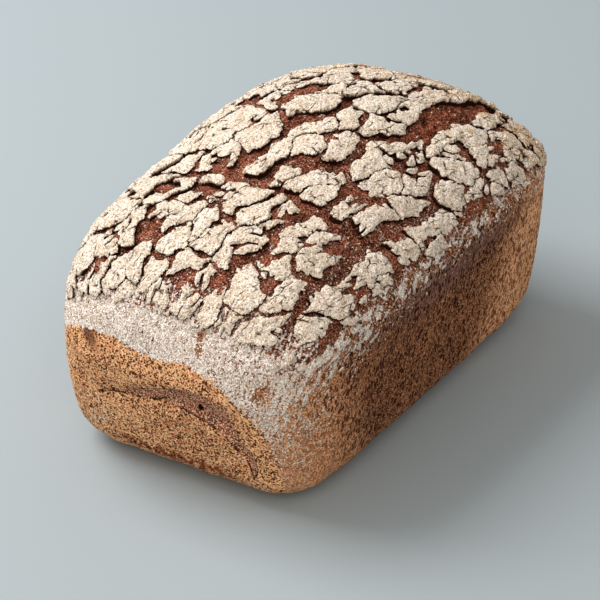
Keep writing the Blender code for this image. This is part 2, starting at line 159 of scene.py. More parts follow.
# where the floured crust cracked, the same plan as the solid's
crackPlan = {
    "seed": 11,
    "plateLength": 0.0172,
    "plateWidth": 0.0096,
    "slant": math.radians(-14),
    "scatter": 0.34,
    "clearance": 0.70,
    "neighboursWithin": 3.0,  # plates
    "platesToAGroup": (2.3, 2.5),
    "cracksInAGroup": (0.0005, 0.0013),
    "cracksRoundAGroup": (0.0017, 0.0036),
    # from bare crust to full flour, on the sheet
    "nearEdge": (-0.113, -0.100),
    "farEdge": (0.112, 0.096),
    "rightEdge": (-0.076, -0.060),
    "leftEdge": (0.080, 0.064),
    # width, depth and route of each wide tear
    "tears": [
        (0.0125, 0.0030, [(0.022, -0.029), (0.050, -0.027), (0.072, -0.027), (0.090, -0.034)]),
        (0.0055, 0.0016, [(-0.040, 0.046), (-0.037, 0.022), (-0.036, 0.002), (-0.038, -0.024)]),
        (0.0080, 0.0018, [(-0.038, -0.024), (-0.037, -0.048)]),
        (0.0045, 0.0014, [(-0.078, -0.022), (-0.060, -0.021), (-0.040, -0.027)]),
        (0.0058, 0.0016, [(-0.098, -0.049), (-0.070, -0.047), (-0.038, -0.048), (0.000, -0.050)]),
        (0.0062, 0.0022, [(-0.036, 0.015), (-0.018, 0.014), (0.006, 0.004), (0.030, -0.001)]),
        (0.0045, 0.0012, [(0.030, -0.001), (0.060, -0.013)]),
        (0.0060, 0.0018, [(-0.027, 0.010), (-0.020, -0.008), (-0.006, -0.018), (0.020, -0.021)]),
        (0.0032, 0.0010, [(-0.098, 0.052), (-0.088, 0.036), (-0.076, 0.018)]),
        (0.0030, 0.0010, [(-0.082, 0.046), (-0.066, 0.038), (-0.040, 0.034)]),
        (0.0030, 0.0012, [(-0.036, 0.045), (-0.006, 0.042), (0.030, 0.031), (0.052, 0.022)]),
        (0.0034, 0.0012, [(0.006, 0.024), (0.026, 0.016), (0.044, 0.014), (0.060, 0.004)]),
    ],
}
lengthwise = np.array([math.cos(crackPlan["slant"]), math.sin(crackPlan["slant"])])
widthwise = np.array([-lengthwise[1], lengthwise[0]])
toPlates = np.stack([lengthwise / crackPlan["plateLength"], widthwise / crackPlan["plateWidth"]])
fromPlates = np.linalg.inv(toPlates)
crackMetric = toPlates.T @ toPlates


def distanceToPath(p, q, path):
    nearest = np.full(np.shape(p), np.inf)
    for (p0, q0), (p1, q1) in zip(path, path[1:]):
        dp, dq = p1 - p0, q1 - q0
        t = np.clip(((p - p0) * dp + (q - q0) * dq) / (dp * dp + dq * dq), 0, 1)
        nearest = np.minimum(nearest, np.hypot(p - p0 - t * dp, q - q0 - t * dq))
    return nearest


def flourDepth(p, q):
    ends = ramp(p, *crackPlan["nearEdge"]) * ramp(p, *crackPlan["farEdge"])
    return ends * ramp(q, *crackPlan["rightEdge"]) * ramp(q, *crackPlan["leftEdge"])


def tornDepth(p, q):
    depth = np.zeros(np.shape(p))
    for width, sinks, path in crackPlan["tears"]:
        depth = np.maximum(depth, sinks * np.exp(-((distanceToPath(p, q, path) / width) ** 2)))
    return depth


def wander(p, q):
    turn = 2 * math.pi
    # long, short and tiny waves that bend the cracks
    along = 0.0014 * np.sin(turn * (p / 0.041 + q / 0.052)) + 0.0008 * np.sin(turn * (p / 0.021 - q / 0.016))
    across = 0.0014 * np.sin(turn * (p / 0.047 - q / 0.035)) + 0.0008 * np.sin(turn * (p / 0.017 + q / 0.023))
    along += 0.0003 * np.sin(turn * (p / 0.0083 + q / 0.0127))
    across += 0.0003 * np.sin(turn * (p / 0.0098 - q / 0.0089))
    return np.stack([along, across], axis=-1)


def crosses(a, b, path):
    def turns(o, u, v):
        return (u[0] - o[0]) * (v[1] - o[1]) - (u[1] - o[1]) * (v[0] - o[0])

    return any(
        turns(a, b, c) * turns(a, b, d) < 0 and turns(c, d, a) * turns(c, d, b) < 0
        for c, d in zip(path, path[1:])
    )


def besideTear(width, path, rng):
    middles = []
    for start, end in zip(path, path[1:]):
        start, run = np.array(start), np.array(end) - np.array(start)
        length = np.linalg.norm(run)
        tangent = run / length
        normal = np.array([-tangent[1], tangent[0]])
        slide = np.linalg.solve(crackMetric, normal)
        slide /= slide @ normal
        halfPlate = 0.5 / np.linalg.norm(toPlates @ slide)
        step = 1 / np.linalg.norm(toPlates @ tangent)
        count = max(1, round(length / step))
        for k in range(count):
            onPath = start + (k + rng.uniform(0.3, 0.7)) / count * run
            for side in (-1, 1):
                middles.append(onPath + side * (width / 2 + halfPlate) * slide)
    return middles


def apart(place, others):
    if not others:
        return math.inf
    return np.linalg.norm((np.array(others) - place) @ toPlates.T, axis=1).min()


def strayedLattice(spacing, rng):
    low = np.array([crackPlan["nearEdge"][0], crackPlan["rightEdge"][0]]) - crackPlan["plateLength"]
    high = np.array([crackPlan["farEdge"][0], crackPlan["leftEdge"][0]]) + crackPlan["plateLength"]
    box = np.array([(low[0], low[1]), (high[0], low[1]), (high[0], high[1]), (low[0], high[1])])
    counts = box @ toPlates.T / spacing
    first, last = np.floor(counts.min(axis=0)), np.ceil(counts.max(axis=0))
    scatter = crackPlan["scatter"]
    places = []
    for row in range(int(first[1]), int(last[1]) + 1):
        for column in range(int(first[0]), int(last[0]) + 1):
            stray = [rng.uniform(-scatter, scatter) for _ in range(2)]
            place = fromPlates @ (np.array([column + row % 2 / 2 + stray[0], row + stray[1]]) * spacing)
            if (place > low).all() and (place < high).all():
                places.append(place)
    return places


def tornAway(place):
    return any(distanceToPath(*place, path) < width / 2 for width, _, path in crackPlan["tears"])


def plateMiddles(rng):
    clearance = crackPlan["clearance"]
    middles = []
    for width, _, path in crackPlan["tears"]:
        for place in besideTear(width, path, rng):
            if apart(place, middles) > clearance and not tornAway(place):
                middles.append(place)
    paired = list(middles)
    for place in strayedLattice(np.ones(2), rng):
        if apart(place, paired) > clearance and not tornAway(place):
            middles.append(place)
    return np.array(middles)


def crackWidths(middles, rng):
    perGroup = crackPlan["platesToAGroup"]
    heads = np.array(strayedLattice(np.array(perGroup), rng))
    toHeads = np.linalg.norm((middles[:, None] - heads[None]) @ toPlates.T / perGroup, axis=2)
    groups = toHeads.argmin(axis=1)
    widths = {i: [] for i in range(len(middles))}
    for i, here in enumerate(middles):
        gaps = np.linalg.norm((middles - here) @ toPlates.T, axis=1)
        for j in np.flatnonzero(gaps < crackPlan["neighboursWithin"]):
            if j > i:
                kind = "cracksInAGroup" if groups[i] == groups[j] else "cracksRoundAGroup"
                width = rng.uniform(*crackPlan[kind])
                torn = [w for w, _, path in crackPlan["tears"] if crosses(here, middles[j], path)]
                width = max([width, *torn])  # a crack along a tear is as wide as the tear
                widths[i].append((j, width))
                widths[j].append((i, width))
    return widths


layoutRng = random.Random(crackPlan["seed"])
middles = plateMiddles(layoutRng)
widths = crackWidths(middles, layoutRng)
print("crack plan:", len(middles), "plates")


# unevenness made in numbers, for what has to be in the mesh itself
def patchyNoise(p, q, size, seed):
    table = np.random.default_rng(seed).uniform(-1, 1, (256, 256))
    u, v = p / size, q / size
    i, j = np.floor(u).astype(int), np.floor(v).astype(int)
    f, g = u - i, v - j
    f, g = f * f * (3 - 2 * f), g * g * (3 - 2 * g)
    i0, j0, i1, j1 = i % 256, j % 256, (i + 1) % 256, (j + 1) % 256
    low = table[i0, j0] * (1 - f) + table[i1, j0] * f
    high = table[i0, j1] * (1 - f) + table[i1, j1] * f
    return low * (1 - g) + high * g


def layeredNoise(p, q, layers, seed):
    total = np.zeros(np.shape(p))
    for k, (size, strength) in enumerate(layers):
        turn = 0.6 + 1.1 * k  # each layer is turned, so that no grid shows
        u = p * math.cos(turn) - q * math.sin(turn)
        v = p * math.sin(turn) + q * math.cos(turn)
        total += strength * patchyNoise(u, v, size, seed + k)
    return total


def cellBorder(p, q, length, width, seed):
    # how far a place is from the border of its cell, in a field of uneven cells that lie the plates' way
    u = (p * lengthwise[0] + q * lengthwise[1]) / length
    v = (p * widthwise[0] + q * widthwise[1]) / width
    heads = np.random.default_rng(seed).uniform(0.1, 0.9, (64, 64, 2))
    i, j = np.floor(u).astype(int), np.floor(v).astype(int)
    first, second = np.full(np.shape(p), 9.0), np.full(np.shape(p), 9.0)
    for di in (-1, 0, 1):
        for dj in (-1, 0, 1):
            head = heads[(i + di) % 64, (j + dj) % 64]
            away = np.hypot(i + di + head[..., 0] - u, j + dj + head[..., 1] - v)
            second = np.minimum(second, np.maximum(first, away))
            first = np.minimum(first, away)
    return (second - first) / 2 * width


# the raised plates of dried flour
platePlan = {
    "grid": 0.00045,
    "thickness": 0.0018,
    "thicknessSpread": 0.25,
    "thinnest": 0.00018,
    "ragged": [(0.0060, 0.00070), (0.0027, 0.00075), (0.0013, 0.00060), (0.0008, 0.00030)],
    "fuller": 0.00042,  # how much further the plates reach than the solid's
    "grain": [(0.0045, 0.00032), (0.0019, 0.00032), (0.0009, 0.00020)],
    "leastPlate": 0.0010,  # how far the middle of the smallest plate is from its rim
    "smallCells": (0.0074, 0.0040),
    "smallCrack": 0.00011,  # half its width, before it swells and closes along its way
    "swell": 0.00044,
    "crumbling": 0.0011,  # how much wider it gets where the flour thins out
    "worn": 0.0016,
    "tilt": 0.030,  # rise for each metre across a plate
    "curl": 0.00045,
    "curlReach": 0.0022,
    "undercut": 0.00055,
    "undercutAt": 0.40,  # share of the plate's height
    "buried": 0.0012,
    "sinking": (0.3, 0.5),  # shares of a tear's depth that its plates' tops and undercuts sink
    "leastThickness": 0.15,  # share left where the flour thins out
    "rimRounding": [(0.00030, 0.0004), (0.00050, 0.0016)],  # drops at the rim, and how far in they reach
    "smoothUnder": math.radians(50),
}


def plateField(p, q):
    # each place's plate, and how far inside its outline the place is
    flat = np.stack([p.ravel(), q.ravel()], axis=-1)
    bent = flat + wander(flat[:, 0], flat[:, 1])
    counted, places = bent @ toPlates.T, middles @ toPlates.T
    owner = np.empty(len(bent), int)
    for start in range(0, len(bent), 20000):
        block = counted[start:start + 20000]
        owner[start:start + 20000] = ((block[:, None] - places[None]) ** 2).sum(axis=2).argmin(axis=1)
    inside = np.empty(len(bent))
    for i in range(len(middles)):
        mine = np.flatnonzero(owner == i)
        here, closest = bent[mine], np.full(len(mine), 0.05)
        for j, width in widths[i]:
            normal = crackMetric @ (middles[j] - middles[i])
            normal /= np.linalg.norm(normal)
            halfway = (middles[i] + middles[j]) / 2
            closest = np.minimum(closest, (halfway - here) @ normal - width / 2)
        inside[mine] = closest
    inside += platePlan["fuller"] + layeredNoise(flat[:, 0], flat[:, 1], platePlan["ragged"], 31)
    depth = flourDepth(flat[:, 0], flat[:, 1])
    border = cellBorder(bent[:, 0], bent[:, 1], *platePlan["smallCells"], 41)
    opening = platePlan["smallCrack"] + platePlan["swell"] * patchyNoise(flat[:, 0], flat[:, 1], 0.008, 43)
    opening += platePlan["crumbling"] * (1 - depth)
    inside = np.where(opening > 0.0003, np.minimum(inside, border - opening), inside)
    inside -= (1 - depth) * platePlan["worn"] + np.clip(0.25 - depth, 0, 1) * 0.02
    return owner.reshape(p.shape), inside.reshape(p.shape)


def deselectAll():
    bpy.ops.object.select_all(action="DESELECT")


def readCoordinates(mesh):
    flat = np.empty(len(mesh.vertices) * 3)
    mesh.vertices.foreach_get("co", flat)
    return flat.reshape(-1, 3)


def setAttribute(mesh, name, values):
    attribute = mesh.attributes.get(name) or mesh.attributes.new(name, "FLOAT", "POINT")
    attribute.data.foreach_set("value", np.ascontiguousarray(values, dtype=np.float32))


def readAttribute(mesh, name):
    values = np.empty(len(mesh.vertices), dtype=np.float32)
    mesh.attributes[name].data.foreach_get("value", values)
    return values.astype(float)


def placeVertices(mesh, places):
    mesh.vertices.foreach_set("co", np.ascontiguousarray(places, dtype=np.float32).ravel())
    mesh.update()


def newGrid(name, columns, rows):
    deselectAll()
    bpy.ops.mesh.primitive_grid_add(x_subdivisions=columns, y_subdivisions=rows, size=2)
    piece = bpy.context.object
    piece.name = name
    piece.data.name = name
    return piece


def selectOpenEdges():
    bpy.ops.mesh.select_mode(type="EDGE")
    bpy.ops.mesh.select_all(action="DESELECT")
    bpy.ops.mesh.select_non_manifold(extend=False, use_wire=False, use_boundary=True,
                                     use_multi_face=False, use_non_contiguous=False, use_verts=False)


def tellSize(piece):
    triangles = sum(len(face.vertices) - 2 for face in piece.data.polygons)
    print(piece.name, len(piece.data.vertices), "vertices", triangles, "triangles")


def keptFaces(owner, inside, depth, limit):
    # a face is kept where its four corners are on one plate, and lone corners and spurs are dropped
    near = inside > -limit
    kept = near[:-1, :-1] & near[1:, :-1] & near[:-1, 1:] & near[1:, 1:]
    kept &= (owner[:-1, :-1] == owner[1:, :-1]) & (owner[:-1, :-1] == owner[:-1, 1:])
    kept &= owner[:-1, :-1] == owner[1:, 1:]
    deepest = np.maximum(np.maximum(inside[:-1, :-1], inside[1:, :-1]),
                         np.maximum(inside[:-1, 1:], inside[1:, 1:]))
    kept &= deepest > limit
    for _ in range(3):
        padded = np.pad(kept, 1)
        sides = padded[:-2, 1:-1].astype(int) + padded[2:, 1:-1] + padded[1:-1, :-2] + padded[1:-1, 2:]
        kept &= sides >= 2
        padded = np.pad(kept, 1)
        for dx, dy in ((1, 1), (1, -1)):
            corner = padded[1 + dy:kept.shape[0] + 1 + dy, 1 + dx:kept.shape[1] + 1 + dx]
            besideX = padded[1:-1, 1 + dx:kept.shape[1] + 1 + dx]
            besideY = padded[1 + dy:kept.shape[0] + 1 + dy, 1:-1]
            kept &= ~(corner & ~besideX & ~besideY)
            padded = np.pad(kept, 1)
    # small crumbs stay only where the flour thins out
    held = kept & ((deepest > platePlan["leastPlate"]) | (depth[:-1, :-1] < 0.6))
    for _ in range(300):
        padded = np.pad(held, 1)
        grown = kept & (held | padded[:-2, 1:-1] | padded[2:, 1:-1] | padded[1:-1, :-2] | padded[1:-1, 2:])
        if (grown == held).all():
            break
        held = grown
    return held


topSkin = tabulateSkin((-0.125, -0.090), (0.125, 0.095), 0.001)


def makePlates(name, low, high):
    grid = platePlan["grid"]
    start = np.array([low[0], low[1]])
    counts = np.ceil((np.array(high) - start) / grid).astype(int)
    piece = newGrid(name, int(counts[0]), int(counts[1]))
    mesh = piece.data
    coordinates = readCoordinates(mesh)
    column = np.rint((coordinates[:, 0] + 1) / 2 * counts[0]).astype(int)
    row = np.rint((coordinates[:, 1] + 1) / 2 * counts[1]).astype(int)
    p = start[0] + np.arange(counts[0] + 1) * grid
    q = start[1] + np.arange(counts[1] + 1) * grid
    p, q = np.meshgrid(p, q)
    owner, inside = plateField(p, q)
    slopeQ, slopeP = np.gradient(inside, grid)
    slope = np.maximum(np.hypot(slopeP, slopeQ), 0.25)  # a flat place would send its corner too far
    limit = 0.7 * grid  # how far a corner may move to reach the outline
    kept = keptFaces(owner, inside, flourDepth(p, q), limit)
    chosen = (middles[:, 0] < 0) == name.endswith("near")  # whole plates go to one piece or the other
    kept &= chosen[owner[:-1, :-1]]

    # corners near the outline move on to it, which gives a crisp and even rim
    near = np.abs(inside) < limit
    move = np.where(near, np.clip(-inside / slope, -limit, limit), 0)
    p = p + move * slopeP / slope
    q = q + move * slopeQ / slope

    setAttribute(mesh, "p", p[row, column])
    setAttribute(mesh, "q", q[row, column])
    setAttribute(mesh, "inP", (slopeP / slope)[row, column])
    setAttribute(mesh, "inQ", (slopeQ / slope)[row, column])
    setAttribute(mesh, "inside", np.where(near, 0, inside)[row, column])
    setAttribute(mesh, "plate", owner[row, column].astype(float))
    setAttribute(mesh, "layer", np.zeros(len(mesh.vertices)))

    corners = np.empty(len(mesh.loops), int)
    mesh.loops.foreach_get("vertex_index", corners)
    corners = corners.reshape(-1, 4)
    faceColumn, faceRow = column[corners].min(axis=1), row[corners].min(axis=1)
    unwanted = ~kept[faceRow, faceColumn]
    mesh.polygons.foreach_set("select", unwanted)
    bpy.ops.object.mode_set(mode="EDIT")
    bpy.ops.mesh.select_mode(type="FACE")
    bpy.ops.object.mode_set(mode="OBJECT")
    mesh.polygons.foreach_set("select", unwanted)
    bpy.ops.object.mode_set(mode="EDIT")
    bpy.ops.mesh.delete(type="FACE")

    # the rim is drawn down twice, to an undercut and then to a buried foot, and each plate is closed below
    for layer in (1, 2):
        selectOpenEdges()
        bpy.ops.mesh.extrude_edges_indiv()
        bpy.ops.object.mode_set(mode="OBJECT")
        selected = np.empty(len(mesh.vertices), bool)
        mesh.vertices.foreach_get("select", selected)
        layers = readAttribute(mesh, "layer")
        layers[selected] = layer
        setAttribute(mesh, "layer", layers)
        bpy.ops.object.mode_set(mode="EDIT")
    bpy.ops.mesh.select_all(action="SELECT")
    bpy.ops.mesh.fill_holes(sides=0)
    bpy.ops.object.mode_set(mode="OBJECT")

    p, q = readAttribute(mesh, "p"), readAttribute(mesh, "q")
    inP, inQ = readAttribute(mesh, "inP"), readAttribute(mesh, "inQ")
    inside, layer = readAttribute(mesh, "inside"), readAttribute(mesh, "layer")
    plate = np.rint(readAttribute(mesh, "plate")).astype(int)
    draws = np.random.default_rng(crackPlan["seed"] + 5)
    spread = draws.uniform(1 - platePlan["thicknessSpread"], 1 + platePlan["thicknessSpread"], len(middles))
    tilt = draws.uniform(-platePlan["tilt"], platePlan["tilt"], (len(middles), 2))
    curl = draws.uniform(0, 1, len(middles)) ** 2
    depth = flourDepth(p, q)
    thickness = platePlan["thickness"] * spread[plate] * np.clip(depth, platePlan["leastThickness"], 1)
    away = np.stack([p, q], axis=-1) - middles[plate]
    lean = (away * tilt[plate]).sum(axis=1)
    lifted = platePlan["curl"] * curl[plate] * np.exp(-((inside / platePlan["curlReach"]) ** 2)) * depth
    rounded = sum(drop * np.exp(-inside / reach) for drop, reach in platePlan["rimRounding"])
    grain = layeredNoise(p, q, platePlan["grain"], 57)
    top = thickness + lean * depth + lifted - rounded + grain * (0.4 + 0.6 * depth)  # thin flour is smoother
    top = np.maximum(top, platePlan["thinnest"])
    sunk = tornDepth(p, q)
    topSinks, undercutSinks = platePlan["sinking"]
    undercut = platePlan["undercutAt"] * top - undercutSinks * sunk
    below = np.where(layer == 1, undercut, -sunk - platePlan["buried"])
    height = np.where(layer == 0, top - topSinks * sunk, below)
    inward = np.where(layer == 1, platePlan["undercut"] * depth, 0.0)
    p2, q2 = p + inward * inP, q + inward * inQ
    points, normals = fromSkin(topSkin, p2, q2)
    placeVertices(mesh, points + normals * height[:, None])
    for unused in ("inP", "inQ", "inside", "plate"):
        mesh.attributes.remove(mesh.attributes[unused])
    bpy.ops.object.mode_set(mode="EDIT")
    bpy.ops.mesh.select_all(action="SELECT")
    bpy.ops.mesh.normals_make_consistent(inside=False)
    bpy.ops.object.mode_set(mode="OBJECT")
    bpy.ops.object.shade_smooth_by_angle(angle=platePlan["smoothUnder"])
    tellSize(piece)
    return piece


# the loaf under the flour: tin-baked sides and a torn top
crustPlan = {
    "grid": 520,
    "triangles": 190000,
    "smoothUnder": math.radians(60),
    "nearEndFrom": -0.080,  # x of all that belongs to the near end
    "foldPath": [(-0.143, 0.045), (-0.140, 0.012), (-0.136, -0.022), (-0.141, -0.048), (-0.158, -0.070)],
    "foldWidth": 0.0085,
    "foldDepth": 0.0013,
    "tornRelief": [(0.0060, 0.00090), (0.0028, 0.00100), (0.0013, 0.00050)],
    "widestTear": (0.8, 0.009),  # how much craggier it is, and how far from its middle
    "bakedRelief": [(0.0160, 0.00040), (0.0045, 0.00016), (0.0017, 0.00012)],
    "underPlates": 0.0004,  # the floor sinks this much where plates hide it
    # the lower edge of the flour at the near end, then at the far end, on the sheet
    "nearLine": [(-0.115, 0.160), (-0.114, 0.060), (-0.116, 0.028), (-0.119, 0.008), (-0.117, -0.014),
                 (-0.120, -0.034), (-0.125, -0.047), (-0.129, -0.059), (-0.135, -0.072), (-0.140, -0.082),
                 (-0.152, -0.097), (-0.167, -0.115), (-0.190, -0.140)],
    "farLine": [(0.124, 0.160), (0.120, 0.050), (0.123, 0.000), (0.119, -0.040), (0.132, -0.080), (0.190, -0.140)],
    "leftLine": 0.082,
    # the scar on the near end, as y and z of its outline
    "scar": [(0.034, 0.0295), (0.026, 0.0345), (0.019, 0.036), (0.008, 0.041), (0.001, 0.044), (-0.008, 0.047),
             (-0.016, 0.048), (-0.022, 0.0475), (-0.027, 0.044), (-0.0275, 0.037), (-0.031, 0.031), (-0.035, 0.025),
             (-0.0355, 0.018), (-0.033, 0.013), (-0.0325, 0.017), (-0.030, 0.022), (-0.027, 0.027), (-0.024, 0.031),
             (-0.021, 0.033), (-0.017, 0.035), (-0.008, 0.037), (0.003, 0.037), (0.015, 0.035), (0.026, 0.0335)],
    "scarLip": 0.0006,
    "holes": [((-0.0139, 0.0392), 0.0020), ((0.0015, 0.0372), 0.0013)],  # y and z, and size
    "holeDepth": 0.0022,
    "bruise": ((-0.119, 0.047), 0.0065, 0.8),  # place on the sheet, size and share
    "bloom": ((0.0, -0.078), 0.010, 0.14),  # place, size, and how far it is drawn out along the side
}

# loose flour: each pair is where it is none and where it is full, in metres on the sheet
dustPlan = {
    # where it ends down the right side, for places along the loaf
    "ends": [(-0.170, -0.135), (-0.125, -0.124), (-0.098, -0.106), (-0.085, -0.098), (-0.066, -0.094),
             (-0.052, -0.084), (0.000, -0.081), (0.060, -0.079), (0.110, -0.086)],
    "fullOnRight": -0.060,
    "left": (0.096, 0.066),
    "farEnd": (0.096, 0.112),
    "farEndLoss": 0.45,
    # thick bands above the baked ends: from their edge, on the right, on the left, and their share
    "nearBand": ((-0.007, -0.002), (-0.110, -0.070), (0.085, 0.060), 1.0),
    "farBand": ((-0.010, -0.002), (-0.075, -0.050), (0.085, 0.060), 0.58),
    "pastEdge": 0.002,
    "downTheSide": [(-0.110, 0.55), (-0.085, 0.59), (-0.060, 0.77), (-0.035, 0.88), (0.0, 1.0)],
    # how much stays on torn floors: everywhere, more at the right, at the near end and at the left
    "onFloors": 0.26,
    "moreRight": (-0.030, -0.056, 0.28),
    "moreNear": (-0.085, -0.100, 0.35),
    "moreLeft": (0.050, 0.062, 0.25),
    "mostOnFloors": 0.7,
    "inWidestTear": 0.35,
    "crumbsInstead": 0.40,  # crumbs are most of what lies on torn floors
    # bare spots, on the sheet, and their sizes
    "scuffs": [((-0.112, -0.0185), 0.0022), ((-0.107, -0.0170), 0.0018), ((-0.119, -0.059), 0.0040),
               ((-0.091, -0.089), 0.0060)],
    "scuffShare": 0.8,
    # smudges, by place, size and share: as y and z, on the sheet, and as x and y
    "endSmudge": ((0.033, 0.019), 0.010, 0.42),
    "shoulderSmudge": ((-0.119, -0.092), 0.006, 0.60),
    "footSmudge": ((-0.082, -0.046), 0.024, 0.50),
}


def pastLine(p, q, path):
    # how far p is past a line that runs across the sheet
    return p - np.interp(q, [point[1] for point in reversed(path)], [point[0] for point in reversed(path)])


def insideOutline(a, b, outline):
    closed = outline + outline[:1]
    crossed = np.zeros(np.shape(a), bool)
    for (a0, b0), (a1, b1) in zip(closed, closed[1:]):
        spans = (b0 > b) != (b1 > b)
        crossed ^= spans & (a < a0 + (a1 - a0) * (b - b0) / (b1 - b0 + 1e-12))
    return np.where(crossed, 1, -1) * distanceToPath(a, b, closed)


def spot(a, b, middle, size):
    return np.exp(-((a - middle[0]) ** 2 + (b - middle[1]) ** 2) / size**2)


def dustBand(inward, q, band):
    atEdge, onRight, onLeft, share = band
    return share * ramp(inward, *atEdge) * ramp(q, *onRight) * ramp(q, *onLeft)


def looseFlour(p, q, base):
    # how far a place is inside the cleanly baked ends and side, how much flour lies on it, and how torn it is
    x, y, z = base.T
    nearTin = -pastLine(p, q, crustPlan["nearLine"])
    farTin = pastLine(p, q, crustPlan["farLine"])
    tin = np.maximum(np.maximum(nearTin, farTin), q - crustPlan["leftLine"])
    dust = ramp(q, np.interp(p, *zip(*dustPlan["ends"])), dustPlan["fullOnRight"]) ** 0.6 * ramp(q, *dustPlan["left"])
    dust = dust * (1 - dustPlan["farEndLoss"] * ramp(p, *dustPlan["farEnd"]))
    dust = np.maximum(dust, dustBand(nearTin, q, dustPlan["nearBand"]))
    dust = np.maximum(dust, dustBand(farTin, q, dustPlan["farBand"]))
    dust = dust * (np.maximum(nearTin, farTin) < dustPlan["pastEdge"])
    bare = ramp(flourDepth(p, q), 0.55, 1.0)
    dust *= np.interp(q, *zip(*dustPlan["downTheSide"]))
    onFloors = dustPlan["onFloors"]
    for place, name in ((q, "moreRight"), (p, "moreNear"), (q, "moreLeft")):
        start, end, more = dustPlan[name]
        onFloors = onFloors + more * ramp(place, start, end)
    least = dustPlan["inWidestTear"]
    onFloors *= least + (1 - least) * ramp(distanceToPath(p, q, crackPlan["tears"][0][2]), 0.004, 0.012)
    dust *= 1 - bare * (1 - np.clip(onFloors, 0, dustPlan["mostOnFloors"]))
    for middle, size in dustPlan["scuffs"]:
        dust *= 1 - dustPlan["scuffShare"] * spot(p, q, middle, size)
    middle, size, share = dustPlan["endSmudge"]
    dust = np.maximum(dust, share * spot(y, z, middle, size) * (x < crustPlan["nearEndFrom"]))
    middle, size, share = dustPlan["shoulderSmudge"]
    dust = np.maximum(dust, share * spot(p, q, middle, size))
    middle, size, share = dustPlan["footSmudge"]
    dust = np.maximum(dust, share * ramp(z, 0.014, 0.003) * spot(x, y, middle, size))  # low on the crust
    return tin, dust, bare


def crustSheet(count, mesh):
    # wraps a square grid round the loaf: its middle is the top of the dome and its rim is the foot
    square = readCoordinates(mesh)[:, :2]
    t = np.maximum(np.abs(square).max(axis=1), 1e-6)
    shares = sum(skinTravelled[side] / skinTravelled[side][-1] for side in skinTravelled) / 4
    z = np.interp(t, shares, skinHeights)
    side = square / t[:, None]
    n = squareness(side[:, 0], side[:, 1], z)
    scale = np.maximum(np.abs(side[:, 0]) ** n + np.abs(side[:, 1]) ** n, 1e-9) ** (-1 / n)
    along, across = reaches(side[:, 0], side[:, 1], z)
    return side[:, 0] * scale * along, side[:, 1] * scale * across, z


